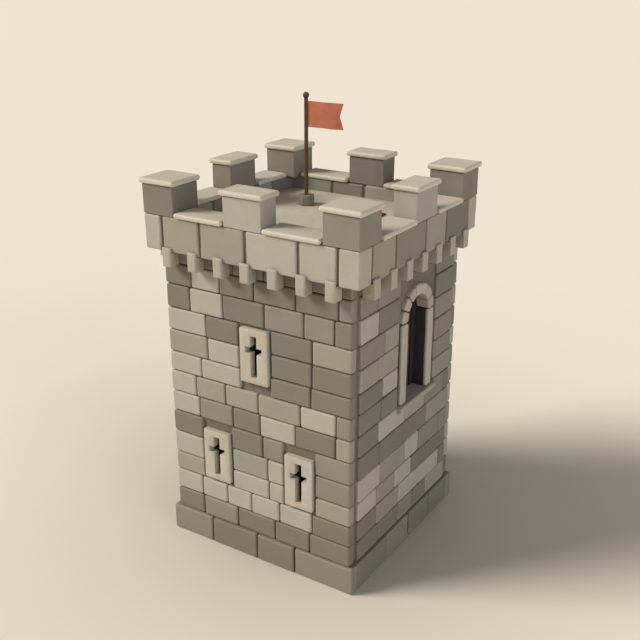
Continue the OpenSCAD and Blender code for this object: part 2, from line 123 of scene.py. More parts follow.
def start_group(name, inputs, outputs):
    tree = bpy.data.node_groups.new(name, "ShaderNodeTree")
    for label, kind, value in inputs:
        socket = tree.interface.new_socket(label, in_out="INPUT", socket_type="NodeSocket" + kind)
        if value is not None:
            socket.default_value = value
    for label, kind in outputs:
        tree.interface.new_socket(label, in_out="OUTPUT", socket_type="NodeSocket" + kind)
    return tree, tree.nodes.new("NodeGroupInput").outputs, tree.nodes.new("NodeGroupOutput").inputs


def use_group(tree, group, **sockets):
    made = tree.nodes.new("ShaderNodeGroup")
    made.node_tree = group
    for key, value in sockets.items():
        socket = made.inputs[key.replace("_", " ")]
        if isinstance(value, bpy.types.NodeSocket):
            tree.links.new(value, socket)
        else:
            socket.default_value = value
    return made.outputs


def start_material(name, roughness):
    material = bpy.data.materials.new(name)
    material.use_nodes = True
    shader = material.node_tree.nodes["Principled BSDF"]
    shader.inputs["Roughness"].default_value = roughness
    shader.inputs["Specular IOR Level"].default_value = 0.25
    return material, material.node_tree, shader.inputs


def mix(tree, factor, a, b, blend="MIX"):
    return add(tree, "Mix", {"data_type": "RGBA", "blend_type": blend},
               i0=factor, i6=a, i7=b).outputs[2]


def scaled(tree, value, low, high, to_low=0.0, to_high=1.0):
    return add(tree, "MapRange", None, i0=value, i1=low, i2=high, i3=to_low, i4=to_high).outputs[0]


def maths(tree, operation, *values):
    sockets = {f"i{k}": value for k, value in enumerate(values)}
    return add(tree, "Math", {"operation": operation}, **sockets).outputs[0]


def shaded(tree, colour, value):
    """a colour multiplied by one value"""
    grey = add(tree, "CombineColor", None, i0=value, i1=value, i2=value).outputs[0]
    return mix(tree, 1.0, colour, grey, "MULTIPLY")


def bumped(tree, shader, height, distance, strength=0.6):
    bump = add(tree, "Bump", None, Height=height, Distance=distance, Strength=strength)
    tree.links.new(bump.outputs[0], shader["Normal"])


def attribute(tree, name):
    return add(tree, "Attribute", {"attribute_name": name}).outputs["Fac"]


# %% [markdown]
# ## Shared effect: weathering patches
#
# Old stone is never one flat colour. Damp and lichen leave broad, faint patches, and the
# grain of the stone leaves a fine speckle. One group makes both from noise, so each stone
# material can use them at its own strength.

# %% Group: weathering patches
patches, gin, gout = start_group(
    "weathering patches",
    [("Position", "Vector", None), ("Patch size", "Float", 0.8), ("Grain size", "Float", 0.02)],
    [("Patch", "Float"), ("Grain", "Float")])
patch_scale = maths(patches, "DIVIDE", 1.0, gin["Patch size"])
grain_scale = maths(patches, "DIVIDE", 1.0, gin["Grain size"])
broad = add(patches, "TexNoise", None, Vector=gin["Position"], Scale=patch_scale,
            Detail=4.0, Roughness=0.55)
fine = add(patches, "TexNoise", None, Vector=gin["Position"], Scale=grain_scale,
           Detail=3.0, Roughness=0.7)
patches.links.new(scaled(patches, broad.outputs["Fac"], 0.3, 0.7), gout["Patch"])
patches.links.new(scaled(patches, fine.outputs["Fac"], 0.25, 0.75), gout["Grain"])
print("group:", patches.name)

# %% [markdown]
# ## Shared effect: worn and highlit edges
#
# Edges of stones and boards are rubbed first: they end up a little paler and smoother than
# the faces. On the stones the paler edge is also a painted highlight, for the light that
# rounded edges catch. The meshes below carry a value named edge, 1 along their rounded edges
# and 0 on their faces. The group breaks it up with noise, since wear is never even.

# %% Group: worn and highlit edges
worn_and_highlit, gin, gout = start_group(
    "worn and highlit edges", [("Position", "Vector", None), ("Patch size", "Float", 0.12)],
    [("Mask", "Float")])
edge = attribute(worn_and_highlit, "edge")
wear_scale = maths(worn_and_highlit, "DIVIDE", 1.0, gin["Patch size"])
broken = add(worn_and_highlit, "TexNoise", None, Vector=gin["Position"], Scale=wear_scale, Detail=3.0)
amount = scaled(worn_and_highlit, broken.outputs["Fac"], 0.35, 0.65, 0.35, 1.0)
worn_and_highlit.links.new(maths(worn_and_highlit, "MULTIPLY", edge, amount), gout["Mask"])
print("group:", worn_and_highlit.name)

# %% [markdown]
# ## Shared effect: tooled stone face
#
# A mason leaves shallow hollows and a fine roughness on a face. They are too small to model,
# so a group turns two noises and a few round pits into a height, and each material feeds it
# to a bump node.

# %% Group: tooled face
tooled, gin, gout = start_group(
    "tooled face", [("Position", "Vector", None), ("Hollow size", "Float", 0.15)],
    [("Height", "Float")])
hollow_scale = maths(tooled, "DIVIDE", 1.0, gin["Hollow size"])
hollows = add(tooled, "TexNoise", None, Vector=gin["Position"], Scale=hollow_scale, Detail=2.0)
grit = add(tooled, "TexNoise", None, Vector=gin["Position"], Scale=60.0, Detail=4.0,
           Roughness=0.7)
pit = add(tooled, "TexVoronoi", None, Vector=gin["Position"], Scale=14.0)
pits = scaled(tooled, pit.outputs["Distance"], 0.03, 0.16, -0.25, 0.0)
both = maths(tooled, "MULTIPLY_ADD", grit.outputs["Fac"], 0.3, hollows.outputs["Fac"])
tooled.links.new(maths(tooled, "ADD", both, pits), gout["Height"])
print("group:", tooled.name)

# %% [markdown]
# ## Shared effect: timber grain
#
# Oak boards show long streaks along the grain and darker lines between them. Stretching a
# noise strongly along one axis gives the streaks. The axis is chosen by scaling the position
# before it reaches the group's noise.

# %% Group: timber grain
grain, gin, gout = start_group(
    "timber grain", [("Position", "Vector", None), ("Stretch", "Vector", (18.0, 18.0, 1.2))],
    [("Streak", "Float"), ("Height", "Float")])
drawn = add(grain, "VectorMath", {"operation": "MULTIPLY"}, i0=gin["Position"],
            i1=gin["Stretch"]).outputs[0]
streaks = add(grain, "TexNoise", None, Vector=drawn, Scale=1.0, Detail=5.0, Roughness=0.6,
              Distortion=0.6)
fibres = add(grain, "TexNoise", None, Vector=drawn, Scale=7.0, Detail=3.0, Roughness=0.7)
grain.links.new(scaled(grain, streaks.outputs["Fac"], 0.3, 0.7), gout["Streak"])
grain.links.new(maths(grain, "MULTIPLY_ADD", fibres.outputs["Fac"], 0.5, streaks.outputs["Fac"]),
                gout["Height"])
print("group:", grain.name)

# %% [markdown]
# ## The wall stones' material
#
# The shaft is built of a grey-buff stone. Some blocks are dark and greenish, some light and
# rosy: the quarry's beds differ. Each block's mesh carries a tone from 0 to 1 and a warmth
# from 0 to 1, and the material blends four colours with them, so a single material serves
# every block.

# %% Material: wall stone
def stone_material(name, colours, patch_depth, bump, hollow):
    """colours: cool dark, cool light, warm dark, warm light"""
    material, tree, shader = start_material(name, 0.9)
    place = add(tree, "TexCoord").outputs["Object"]
    tone, warmth = attribute(tree, "tone"), attribute(tree, "warmth")
    cool_dark, cool_light, warm_dark, warm_light = colours
    cool = mix(tree, tone, (*cool_dark, 1), (*cool_light, 1))
    warm = mix(tree, tone, (*warm_dark, 1), (*warm_light, 1))
    colour = mix(tree, warmth, cool, warm)
    weather = use_group(tree, patches, Position=place, Patch_size=0.7, Grain_size=0.03)
    low, high = 1 - patch_depth, 1 + patch_depth
    shade = scaled(tree, weather["Patch"], 0, 1, low, high)
    speck = scaled(tree, weather["Grain"], 0, 1, 0.965, 1.035)
    colour = shaded(tree, colour, maths(tree, "MULTIPLY", shade, speck))
    # paler, smoother edges: partly wear, partly a painted highlight for the light on rounded edges
    wear_and_highlight = use_group(tree, worn_and_highlit, Position=place)["Mask"]
    pale = mix(tree, 1.0, colour, (1.18, 1.17, 1.15, 1), "MULTIPLY")
    rubbed_and_highlit = maths(tree, "MULTIPLY", wear_and_highlight, 0.6)
    tree.links.new(mix(tree, rubbed_and_highlit, colour, pale), shader["Base Color"])
    tree.links.new(scaled(tree, wear_and_highlight, 0, 1, 0.92, 0.8), shader["Roughness"])
    height = use_group(tree, tooled, Position=place, Hollow_size=hollow)["Height"]
    bumped(tree, shader, height, bump)
    return material


WALL_STONE = stone_material("wall stone", [(0.181, 0.167, 0.132), (0.366, 0.340, 0.272),
                                           (0.178, 0.160, 0.127), (0.394, 0.361, 0.310)],
                            0.035, 0.012, 0.18)
DRESSED_STONE = stone_material("dressed stone", [(0.300, 0.272, 0.222), (0.515, 0.480, 0.390),
                                                 (0.320, 0.280, 0.235), (0.545, 0.490, 0.410)],
                               0.035, 0.008, 0.12)
print("materials:", WALL_STONE.name, "and", DRESSED_STONE.name)

# %% [markdown]
# ## The mortar and rubble behind the stones
#
# Between the stones, and where the wall around the doorways and arrow loops is left bare,
# one sees lime mortar with small rubble, darker because it lies deeper and stays damp.
# Inside the tower the same material shows as rough walls, so a pattern of irregular cells
# gives it stones of its own.

# %% Material: rubble and mortar
def rubble_material():
    material, tree, shader = start_material("rubble and mortar", 0.95)
    place = add(tree, "TexCoord").outputs["Object"]
    weather = use_group(tree, patches, Position=place, Patch_size=0.5, Grain_size=0.02)
    colour = mix(tree, weather["Patch"], (0.140, 0.127, 0.096, 1), (0.172, 0.155, 0.118, 1))
    cells = add(tree, "TexVoronoi", {"feature": "DISTANCE_TO_EDGE"}, Vector=place, Scale=3.2)
    seam = scaled(tree, cells.outputs["Distance"], 0.0, 0.06, 0.0, 1.0)
    dark = mix(tree, 1.0, colour, (0.84, 0.84, 0.83, 1), "MULTIPLY")
    tree.links.new(mix(tree, seam, dark, colour), shader["Base Color"])
    grit = use_group(tree, tooled, Position=place, Hollow_size=0.1)["Height"]
    bumped(tree, shader, maths(tree, "MULTIPLY_ADD", seam, 0.5, grit), 0.012)
    return material


RUBBLE = rubble_material()
print("material:", RUBBLE.name)

# %% [markdown]
# ## Timber, iron and cloth
#
# The door leaves, the hatch lid and the floors are weathered oak. The doorways' lining is
# nearly black: painted shade for the deep doorways. The pole is a reddish pine spar. Hinge
# straps, the lift ring and the knob on the pole are forged iron: dark, slightly glossy, with a
# brown bloom of rust.

# %% Materials: timber and iron
def timber_material(name, dark, light, stretch, roughness=0.75):
    material, tree, shader = start_material(name, roughness)
    place = add(tree, "TexCoord").outputs["Object"]
    lines = use_group(tree, grain, Position=place, Stretch=stretch)
    base = mix(tree, lines["Streak"], (*dark, 1), (*light, 1))
    base = shaded(tree, base, scaled(tree, attribute(tree, "tone"), 0, 1, 0.85, 1.15))
    wear_and_highlight = use_group(tree, worn_and_highlit, Position=place)["Mask"]
    rubbed_and_highlit = maths(tree, "MULTIPLY", wear_and_highlight, 0.5)
    pale = mix(tree, 1.0, base, (1.35, 1.3, 1.25, 1), "MULTIPLY")
    tree.links.new(mix(tree, rubbed_and_highlit, base, pale), shader["Base Color"])
    bumped(tree, shader, lines["Height"], 0.006, 0.5)
    return material


def iron_material():
    material, tree, shader = start_material("forged iron", 0.5)
    place = add(tree, "TexCoord").outputs["Object"]
    weather = use_group(tree, patches, Position=place, Patch_size=0.08, Grain_size=0.008)
    rust = scaled(tree, weather["Patch"], 0.45, 0.9)
    tree.links.new(mix(tree, rust, (0.050, 0.044, 0.046, 1), (0.085, 0.048, 0.034, 1)),
                   shader["Base Color"])
    tree.links.new(scaled(tree, rust, 0, 1, 0.7, 0.2), shader["Metallic"])
    tree.links.new(scaled(tree, rust, 0, 1, 0.45, 0.8), shader["Roughness"])
    bumped(tree, shader, weather["Grain"], 0.003, 0.4)
    return material


UPRIGHT_GRAIN, LENGTH_GRAIN = (16.0, 16.0, 1.1), (1.1, 16.0, 16.0)
DOOR_WOOD = timber_material("door oak", (0.055, 0.030, 0.018), (0.105, 0.060, 0.036),
                            UPRIGHT_GRAIN)
# the lining's near-black colour is painted shade for the deep doorways
LINING_PAINTED_SHADE = timber_material("lining in painted shade", (0.010, 0.008, 0.007), (0.024, 0.019, 0.016),
                             UPRIGHT_GRAIN)
FLOOR_WOOD = timber_material("floor oak", (0.085, 0.052, 0.030), (0.17, 0.11, 0.066), LENGTH_GRAIN)
HATCH_WOOD = timber_material("hatch oak", (0.050, 0.030, 0.018), (0.11, 0.068, 0.042),
                             (16.0, 1.1, 16.0))
POLE_WOOD = timber_material("pole pine", (0.080, 0.040, 0.022), (0.135, 0.072, 0.042),
                            (30.0, 30.0, 1.4))
IRON = iron_material()
print("timber and iron ready")

# %% [markdown]
# ## Blocks with rounded edges
#
# Almost every stone is a block whose edges have been rubbed round. A cube with a bevel
# modifier would do, but there are several hundred, each a little different, so they are
# computed: a grid is laid over a box, and each point is pulled onto a sphere round the
# nearest point of a smaller inner box. The same step gives the exact normal, so the flat
# faces stay flat and the edges shade smoothly.

# %% Rounded blocks
grids = {}


def block_grid(counts):
    """indices of the surface points of a grid box, and its outward quads"""
    if counts in grids:
        return grids[counts]
    index = -np.ones(counts, int)
    surface = np.zeros(counts, bool)
    for axis in range(3):
        for end in (0, -1):
            surface[tuple(end if a == axis else slice(None) for a in range(3))] = True
    index[surface] = np.arange(surface.sum())
    quads = []
    for axis in range(3):
        u, v = (axis + 1) % 3, (axis + 2) % 3
        for end, outward in ((0, False), (counts[axis] - 1, True)):
            for i in range(counts[u] - 1):
                for j in range(counts[v] - 1):
                    ring = []
                    for di, dj in ((0, 0), (1, 0), (1, 1), (0, 1)):
                        at = [0, 0, 0]
                        at[axis], at[u], at[v] = end, i + di, j + dj
                        ring.append(index[tuple(at)])
                    quads.append(ring if outward else ring[::-1])
    grids[counts] = (np.argwhere(surface), np.array(quads))
    return grids[counts]


def rounded_block(low, high, radius, inner=(1, 0, 1), wobble=0.0):
    """points, normals, edge mask and quads of one block; inner: extra grid lines per axis"""
    low, high = np.array(low, float), np.array(high, float)
    middle, half = (low + high) / 2, (high - low) / 2
    radius = min(radius, *(0.49 * 2 * half))
    lines = []
    for axis in range(3):
        rim = [-half[axis], -half[axis] + 0.45 * radius, -half[axis] + radius]
        between = np.linspace(rim[2], -rim[2], inner[axis] + 2)[1:-1]
        lines.append(np.array(rim + list(between) + [-v for v in rim[::-1]]))
    where, quads = block_grid(tuple(len(line) for line in lines))
    points = np.stack([lines[a][where[:, a]] for a in range(3)], 1)
    inside = np.clip(points, -(half - radius), half - radius)
    away = points - inside
    normals = away / np.linalg.norm(away, axis=1, keepdims=True)
    edge = ((np.abs(away) > 1e-6).sum(1) > 1).astype(float)
    points = inside + radius * normals
    if wobble:
        waves = rng.uniform(2.0, 6.0, (3, 3)) * rng.choice([-1, 1], (3, 3))
        points = points + wobble * np.sin(points @ waves + rng.uniform(0, 6.28, 3))
    return points + middle, normals, edge, quads


def stone(shape, tones, side=0):
    """what join_blocks takes: a rounded block turned to its side, with its tone and warmth"""
    p, n, e, q = shape
    return turned(p, side), turned(n, side), e, q, *tones


def turned(points, side):
    """turns what faces the front to side 0 front, 1 right, 2 back, 3 left"""
    c, s = ((1, 0), (0, 1), (-1, 0), (0, -1))[side]
    turn = np.array([[c, s, 0], [-s, c, 0], [0, 0, 1]], float)
    return points @ turn


sample = rounded_block((0, 0, 0), (1, 0.3, 0.5), 0.04)
print("one block:", len(sample[0]), "points,", len(sample[3]), "quads")

# %% [markdown]
# ## From blocks to pieces
#
# The stones of one side belong together, so they are joined into one mesh. Each stone writes
# its tone and warmth into the mesh as attributes, next to the edge value. The piece then
# rides on the tower's body, and takes the place of the plain solid where it covers it.

# %% Joining blocks
def make_piece(name, points, faces, material, replaced=(), attributes=None, normals=None):
    mesh = bpy.data.meshes.new(name)
    mesh.from_pydata([tuple(p) for p in points], [], [tuple(int(i) for i in f) for f in faces])
    for label, values in (attributes or {}).items():
        mesh.attributes.new(label, "FLOAT", "POINT").data.foreach_set(
            "value", np.asarray(values, np.float32))
    mesh.materials.append(material)
    if normals is not None:
        mesh.shade_smooth()
        mesh.normals_split_custom_set_from_vertices([tuple(n) for n in normals])
    piece = bpy.data.objects.new(name, mesh)
    bpy.context.scene.collection.objects.link(piece)
    finish_piece(piece, replaced)
    return piece


def finish_piece(piece, replaced=()):
    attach(piece, "root")
    if replaced:
        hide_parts(*replaced)
    piece.data.calc_loop_triangles()
    print(piece.name, "-", len(piece.data.loop_triangles), "triangles")


def join_blocks(name, blocks, material, replaced=()):
    """blocks: (points, normals, edge, quads, tone, warmth) for each block"""
    points, normals, faces, edge, tone, warmth, first = [], [], [], [], [], [], 0
    for p, n, e, q, t, w in blocks:
        points.append(p)
        normals.append(n)
        faces.append(q + first)
        edge.append(e)
        tone.append(np.full(len(p), t))
        warmth.append(np.full(len(p), w))
        first += len(p)
    values = {"edge": np.concatenate(edge), "tone": np.concatenate(tone),
              "warmth": np.concatenate(warmth)}
    return make_piece(name, np.concatenate(points), np.concatenate(faces), material,
                      replaced, values, np.concatenate(normals))


# %% [markdown]
# ## The core of the walls
#
# The plain wall solids stand where the stones' faces are. For the look, their outer skin
# moves back to the mortar's depth: a copy of each wall's mesh is made, and every point that
# lies further out than the mortar is brought back to it. Sides of the shallow recesses fold
# to nothing there and are dissolved. Window and door openings stay as they are.

# %% Wall cores
def copy_of(nodes, name):
    """one mesh that joins copies of solids, with its doubled points merged"""
    built = bmesh.new()
    for label in nodes:
        built.from_mesh(CAD[label].data)
    bmesh.ops.remove_doubles(built, verts=built.verts, dist=1e-5)
    for layer in list(built.loops.layers.uv):
        built.loops.layers.uv.remove(layer)
    mesh = bpy.data.meshes.new(name)
    return built, mesh


def place_mesh(built, mesh, name, material, replaced, smooth_angle=None):
    built.to_mesh(mesh)
    built.free()
    mesh.materials.clear()
    mesh.materials.append(material)
    if smooth_angle is not None:
        mesh.shade_smooth()
        mesh.set_sharp_from_angle(angle=math.radians(smooth_angle))
    piece = bpy.data.objects.new(name, mesh)
    bpy.context.scene.collection.objects.link(piece)
    finish_piece(piece, replaced)
    return piece


def sunk_copy(nodes, name, limit, material=RUBBLE, top=None):
    built, mesh = copy_of(nodes, name)
    for vert in built.verts:
        vert.co.x = max(-limit, min(limit, vert.co.x))
        vert.co.y = max(-limit, min(limit, vert.co.y))
        if top is not None:
            vert.co.z = min(top, vert.co.z)
    bmesh.ops.remove_doubles(built, verts=built.verts, dist=1e-5)
    bmesh.ops.dissolve_degenerate(built, edges=built.edges, dist=1e-5)
    return place_mesh(built, mesh, name, material, nodes)


WALLS = {"front": ["front_wall_left", "front_wall_right", "front_wall_upper"],
         "right": ["right_wall_below", "right_wall_near", "right_wall_far", "right_wall_over"],
         "back": ["back_wall_left", "back_wall_right", "back_wall_upper"],
         "left": ["left_wall_below", "left_wall_near", "left_wall_far", "left_wall_over"]}
for label, nodes in WALLS.items():
    for node in nodes:
        sunk_copy([node], node + "_core", CORE)

# %% [markdown]
# ## Laying the courses
#
# A course is a row of stones of one height. For each side there is a list: the places of the
# upright joints, and a letter for each stone between them. D is dark, then M, N and P are ever
# paler and a little rosy, G is pale and greenish and L the palest. A point leaves a bay open,
# for an arrow loop's plate or for the bare wall around a doorway. The joints of one course
# never line up with those of the next, which is what ties a real wall together.

# %% Courses of the front and the right side
COURSES = [0.670, 1.190, 1.700, 2.176, 2.736, 3.283, 3.799, 4.316, 4.799, 5.343, 5.881, 6.449,
           6.953, 7.270]
FRONT = [([-1.629, -0.622, 0.446, 1.391], "DMDDD"),
         ([-1.654, -0.912, -0.214, 0.571, 1.456], "LLLLLD"),
         ([-1.554, -0.723, 0.299, 0.714, 1.531], "G.LL.G"),
         ([-1.554, -0.723, 0.274, 0.714, 1.531], "L.GL.M"),
         ([-1.554, -0.723, 0.144, 0.714, 1.531], "D.DM.M"),
         ([-1.622, -0.674, 0.089, 1.027, 2.059], "LMDLDG"),
         ([-1.702, -0.864, 0.049, 1.164, 2.064], "LGGGLM"),
         ([-1.525, -0.404, 0.391, 1.434], "LL.DD"),
         ([-1.317, -0.429, 0.419, 1.466], "GL.DD"),
         ([-1.339, -0.437, 0.419, 1.471], "LD.DG"),
         ([-1.767, -0.848, 0.254, 1.266, 2.019], "DLDMMD"),
         ([-1.702, -0.929, -0.004, 1.069, 2.109], "DLDDDM"),
         ([-1.534, -0.545, 0.266, 1.141, 2.016], "MDMDMD")]
RIGHT = [([-1.279, -0.302, 0.449, 1.146], "DDMDP"),
         ([-1.379, -0.299, 0.706, 1.804], "DNLLD"),
         ([-1.354, -0.519, 0.311, 1.186], "LNLDD"),
         ([-1.229, -0.019, 0.654, 1.726], "LNLMM"),
         ([-1.294, -0.169, 0.996], "DDDN"),
         ([-1.347, -0.112, 0.889, 1.889], "DLPMD"),
         ([-1.254, -0.505, 1.257], "DD.N"),
         ([-1.189, -0.505, 1.257], "DL.M"),
         ([-1.414, -0.505, 1.257, 1.929], "GG.MM"),
         ([-1.157, -0.505, 1.257], "MG.M"),
         ([-1.447, -0.505, 1.257], "LD.D"),
         ([-1.499, -0.505, 1.257], "MM.D"),
         ([-1.399, -0.505, 1.257], "DM.M")]
print("stones in view:", sum(len(t) - t.count(".") for _, t in FRONT + RIGHT))

# %% [markdown]
# The back and the left side can't be seen together with the other two, so they follow them:
# mirrored, with the same bays for loops and doorway, but with the tones dealt out afresh.

# %% Courses of the back and the left side
def other_side(rows):
    """the same courses mirrored, tones shuffled within the whole side"""
    letters = [letter for _, tones in rows for letter in tones if letter != "."]
    rng.shuffle(letters)
    made = []
    for joints, tones in rows:
        kept = "".join("." if letter == "." else letters.pop() for letter in tones[::-1])
        made.append(([-joint for joint in joints[::-1]], kept))
    return made


SIDES = [FRONT, RIGHT, other_side(FRONT), other_side(RIGHT)]
SIDE_NAMES = ["front", "right", "back", "left"]

# %% [markdown]
# Each letter stands for a range of tone and warmth. The front and back stones run right to
# the corners, and the side walls' stones stop short of them, behind a narrow dark joint.
# Each stone gets its own small push in or out, because old walls aren't planed flat.

# %% Laying the stones
TONES = {"D": (0.03, 0.10), "M": (0.24, 0.90), "N": (0.44, 0.90), "P": (0.62, 0.90),
         "G": (0.60, 0.05), "L": (0.92, 0.95)}
GAP, STONE_EDGE, STONE_DEPTH = 0.028, 0.046, 0.235
RUN_LONG, RUN_SHORT = 2.430, 2.190              # half the run of a course: front and back, sides


def tone_of(letter):
    tone, warmth = TONES[letter]
    return (float(np.clip(tone + rng.uniform(-0.03, 0.03), 0, 1)),
            float(np.clip(warmth + rng.uniform(-0.10, 0.10), 0, 1)))


def lay_side(side):
    end = RUN_LONG if side % 2 == 0 else RUN_SHORT
    blocks = []
    for row, (joints, tones) in enumerate(SIDES[side]):
        edges = [-end] + joints + [end]
        for k, letter in enumerate(tones):
            push = rng.uniform(0.004, 0.020)
            if letter == ".":
                continue
            x0 = edges[k] + (GAP / 2 if k else 0)
            x1 = edges[k + 1] - (GAP / 2 if k + 1 < len(tones) else 0)
            low = (x0, push - SHAFT, COURSES[row] + GAP / 2 - 0.004)
            high = (x1, STONE_DEPTH - SHAFT, COURSES[row + 1] - GAP / 2)
            shape = rounded_block(low, high, STONE_EDGE, wobble=0.003)
            blocks.append(stone(shape, tone_of(letter), side))
    return join_blocks(SIDE_NAMES[side] + "_stones", blocks, WALL_STONE)


for side in range(4):
    lay_side(side)

# %% [markdown]
# ## The plinth
#
# The tower stands on a course of bigger blocks that stick out a little, to spread the load
# and throw off rain. On the front and back they wrap the corners, and the side walls' blocks
# fit between them.

# %% Plinth blocks
PLINTH_LONG = [(-2.550, -1.383, "M"), (-1.343, -0.063, "D"), (-0.033, 0.980, "D"),
               (1.020, 2.540, "M")]
PLINTH_SHORT = [(-2.262, -0.918, "D"), (-0.900, 0.145, "M"), (0.218, 1.250, "D"),
                (1.293, 2.262, "D")]
PLINTH_CORE, PLINTH_DEPTH, PLINTH_EDGE = 2.44, 0.275, 0.045


def lay_plinth(side):
    spans = PLINTH_LONG if side % 2 == 0 else PLINTH_SHORT
    if side > 1:
        spans = [(-x1, -x0, letter) for x0, x1, letter in spans]
    blocks = []
    for x0, x1, letter in spans:
        push = rng.uniform(0.004, 0.014)
        low, high = (x0, push - PLINTH, 0.006), (x1, PLINTH_DEPTH - PLINTH, PLINTH_TOP - 0.008)
        shape = rounded_block(low, high, PLINTH_EDGE, inner=(2, 0, 1), wobble=0.003)
        blocks.append(stone(shape, tone_of(letter), side))
    join_blocks("plinth_" + SIDE_NAMES[side] + "_stones", blocks, WALL_STONE)
    node = "plinth_" + SIDE_NAMES[side]
    sunk_copy([node], node + "_core", PLINTH_CORE)


for side in range(4):
    lay_plinth(side)

# %% [markdown]
# ## The parapet
#
# The parapet stands out on corbels. It is built of tall blocks that go right through it, with
# wide open joints between them, and a single block turns each corner.

# %% Parapet blocks
PARAPET_JOINTS = [([-2.253, -1.215, -0.020, 1.293, 2.223], "GGLLG"),
                  ([-2.200, -1.215, 0.140, 1.138, 2.300], "GMGDM"),
                  ([-2.240, -1.150, 0.000, 0.900, 2.210], "MGDML"),
                  ([-2.230, -1.300, -0.150, 1.050, 2.240], "DGMGD")]
PARAPET_GAP, PARAPET_EDGE, PARAPET_CORE = 0.074, 0.040, 0.06
CORNER_TONES = "LLLD"


def lay_parapet(side):
    joints, tones = PARAPET_JOINTS[side]
    foot, top = SHAFT_TOP + 0.004, PARAPET_TOP - 0.004
    blocks = []
    for k in range(len(joints) - 1):
        push = rng.uniform(0.004, 0.016)
        low = (joints[k] + PARAPET_GAP / 2, push - PARAPET, foot)
        high = (joints[k + 1] - PARAPET_GAP / 2, 0.004 - PARAPET_IN, top)
        shape = rounded_block(low, high, PARAPET_EDGE, inner=(2, 0, 1), wobble=0.004)
        blocks.append(stone(shape, tone_of(tones[k]), side))
    start = PARAPET_JOINTS[(side + 3) % 4][0][-1] + PARAPET_GAP / 2
    low = (-PARAPET + 0.004, -PARAPET + 0.004, foot)
    high = (joints[0] - PARAPET_GAP / 2, -start, top)
    shape = rounded_block(low, high, PARAPET_EDGE, inner=(0, 0, 1), wobble=0.004)
    blocks.append(stone(shape, tone_of(CORNER_TONES[side]), side))
    return join_blocks("parapet_" + SIDE_NAMES[side] + "_stones", blocks, WALL_STONE)


def parapet_core(side):
    node = "parapet_" + SIDE_NAMES[side]
    built, mesh = copy_of([node], node + "_core")
    for vert in built.verts:
        for axis in (0, 1):
            reach = abs(vert.co[axis])
            if reach > PARAPET - 0.01:
                vert.co[axis] = math.copysign(PARAPET - PARAPET_CORE, vert.co[axis])
            elif abs(reach - PARAPET_IN) < 0.01 and axis == (side + 1) % 2:
                vert.co[axis] = math.copysign(PARAPET_IN + 0.03, vert.co[axis])
        vert.co.z = min(vert.co.z, PARAPET_TOP - 0.03)
    return place_mesh(built, mesh, node + "_core", RUBBLE, [node])


for side in range(4):
    lay_parapet(side)
    parapet_core(side)

# %% [markdown]
# ## Merlons, caps and copings
#
# Eight merlons stand on the parapet: one on each corner and one on each side. Their places
# are read from the solids: each separate solid of a node is an island of connected faces,
# and its box gives the block. The caps and the copings of the crenels are slabs with
# fully rounded edges; their tone is paler than the stone's own, as painted light for their
# sunlit tops. All of them stand a little taller than their solids.

# %% Boxes of the separate solids in a node
def islands(node):
    """(low, high) of every separate solid of a node, in a fixed order"""
    built = bmesh.new()
    built.from_mesh(CAD[node].data)
    bmesh.ops.remove_doubles(built, verts=built.verts, dist=1e-5)
    seen, found = set(), []
    for start in built.verts:
        if start.index in seen:
            continue
        stack, group = [start], []
        seen.add(start.index)
        while stack:
            vert = stack.pop()
            group.append(vert.co.copy())
            for link in vert.link_edges:
                other = link.other_vert(vert)
                if other.index not in seen:
                    seen.add(other.index)
                    stack.append(other)
        co = np.array(group)
        found.append((co.min(0), co.max(0)))
    built.free()
    return sorted(found, key=lambda box: tuple(np.round(box[0] + box[1], 2)))


MERLON_TONES = {(-1, -1): (0.05, 0.1), (0, -1): (0.90, 0.9), (1, -1): (0.22, 0.4),
                (1, 0): (0.80, 0.9), (1, 1): (0.10, 0.4), (0, 1): (0.02, 0.3),
                (-1, 1): (0.12, 0.2), (-1, 0): (0.14, 0.4)}


def place_key(low, high):
    middle = (low + high) / 2
    return tuple(int(np.sign(v)) if abs(v) > 1.2 else 0 for v in middle[:2])


def lay_slabs(node, name, edge, material, tone_for, wobble, shrink=0.003, rise=(0, 0)):
    """rise: how far the foot and the top of each block move up from the solid's"""
    blocks = []
    for low, high in islands(node):
        shape = rounded_block(low + shrink + (0, 0, rise[0]), high - shrink + (0, 0, rise[1]),
                              edge, inner=(2, 2, 1), wobble=wobble)
        blocks.append(stone(shape, tone_for(low, high)))
    return join_blocks(name, blocks, material, [node])


def pale_tone(low, high):
    return rng.uniform(0.35, 0.65), rng.uniform(0.2, 0.7)


# caps and copings are pale dressed stone; this tone makes them paler still, as painted light for
# their sunlit tops
def cap_tone_with_painted_light(low, high):
    return rng.uniform(0.85, 1.0), rng.uniform(0.2, 0.7)


MERLON_RISE, CAP_RISE, COPING_RISE = 0.040, 0.075, 0.025   # how far the tops stand higher
lay_slabs("merlons", "merlon_stones", 0.024, WALL_STONE,
          lambda low, high: MERLON_TONES[place_key(low, high)], 0.003, rise=(0, MERLON_RISE))
lay_slabs("merlon_caps", "cap_slabs", 0.056, DRESSED_STONE, cap_tone_with_painted_light, 0.002,
          rise=(MERLON_RISE, CAP_RISE))
lay_slabs("copings", "coping_slabs", 0.052, DRESSED_STONE, cap_tone_with_painted_light, 0.002,
          rise=(0, COPING_RISE))

# %% [markdown]
# ## Corbels, loop plates and doorway stones
#
# These have shapes of their own, so their solids are copied and only softened: flat faces are
# merged first, and then a narrow bevel takes the sharpness off every edge, as rubbing
# does. The bevel's new faces carry the edge value, so that they turn pale like the rest:
# partly wear, and on the stone partly a painted highlight.
#
# The plates of the arrow loops also get a wider cross than their solids have, and a face that
# stands a little further out. Each point of the cross is moved from its old place to its new.

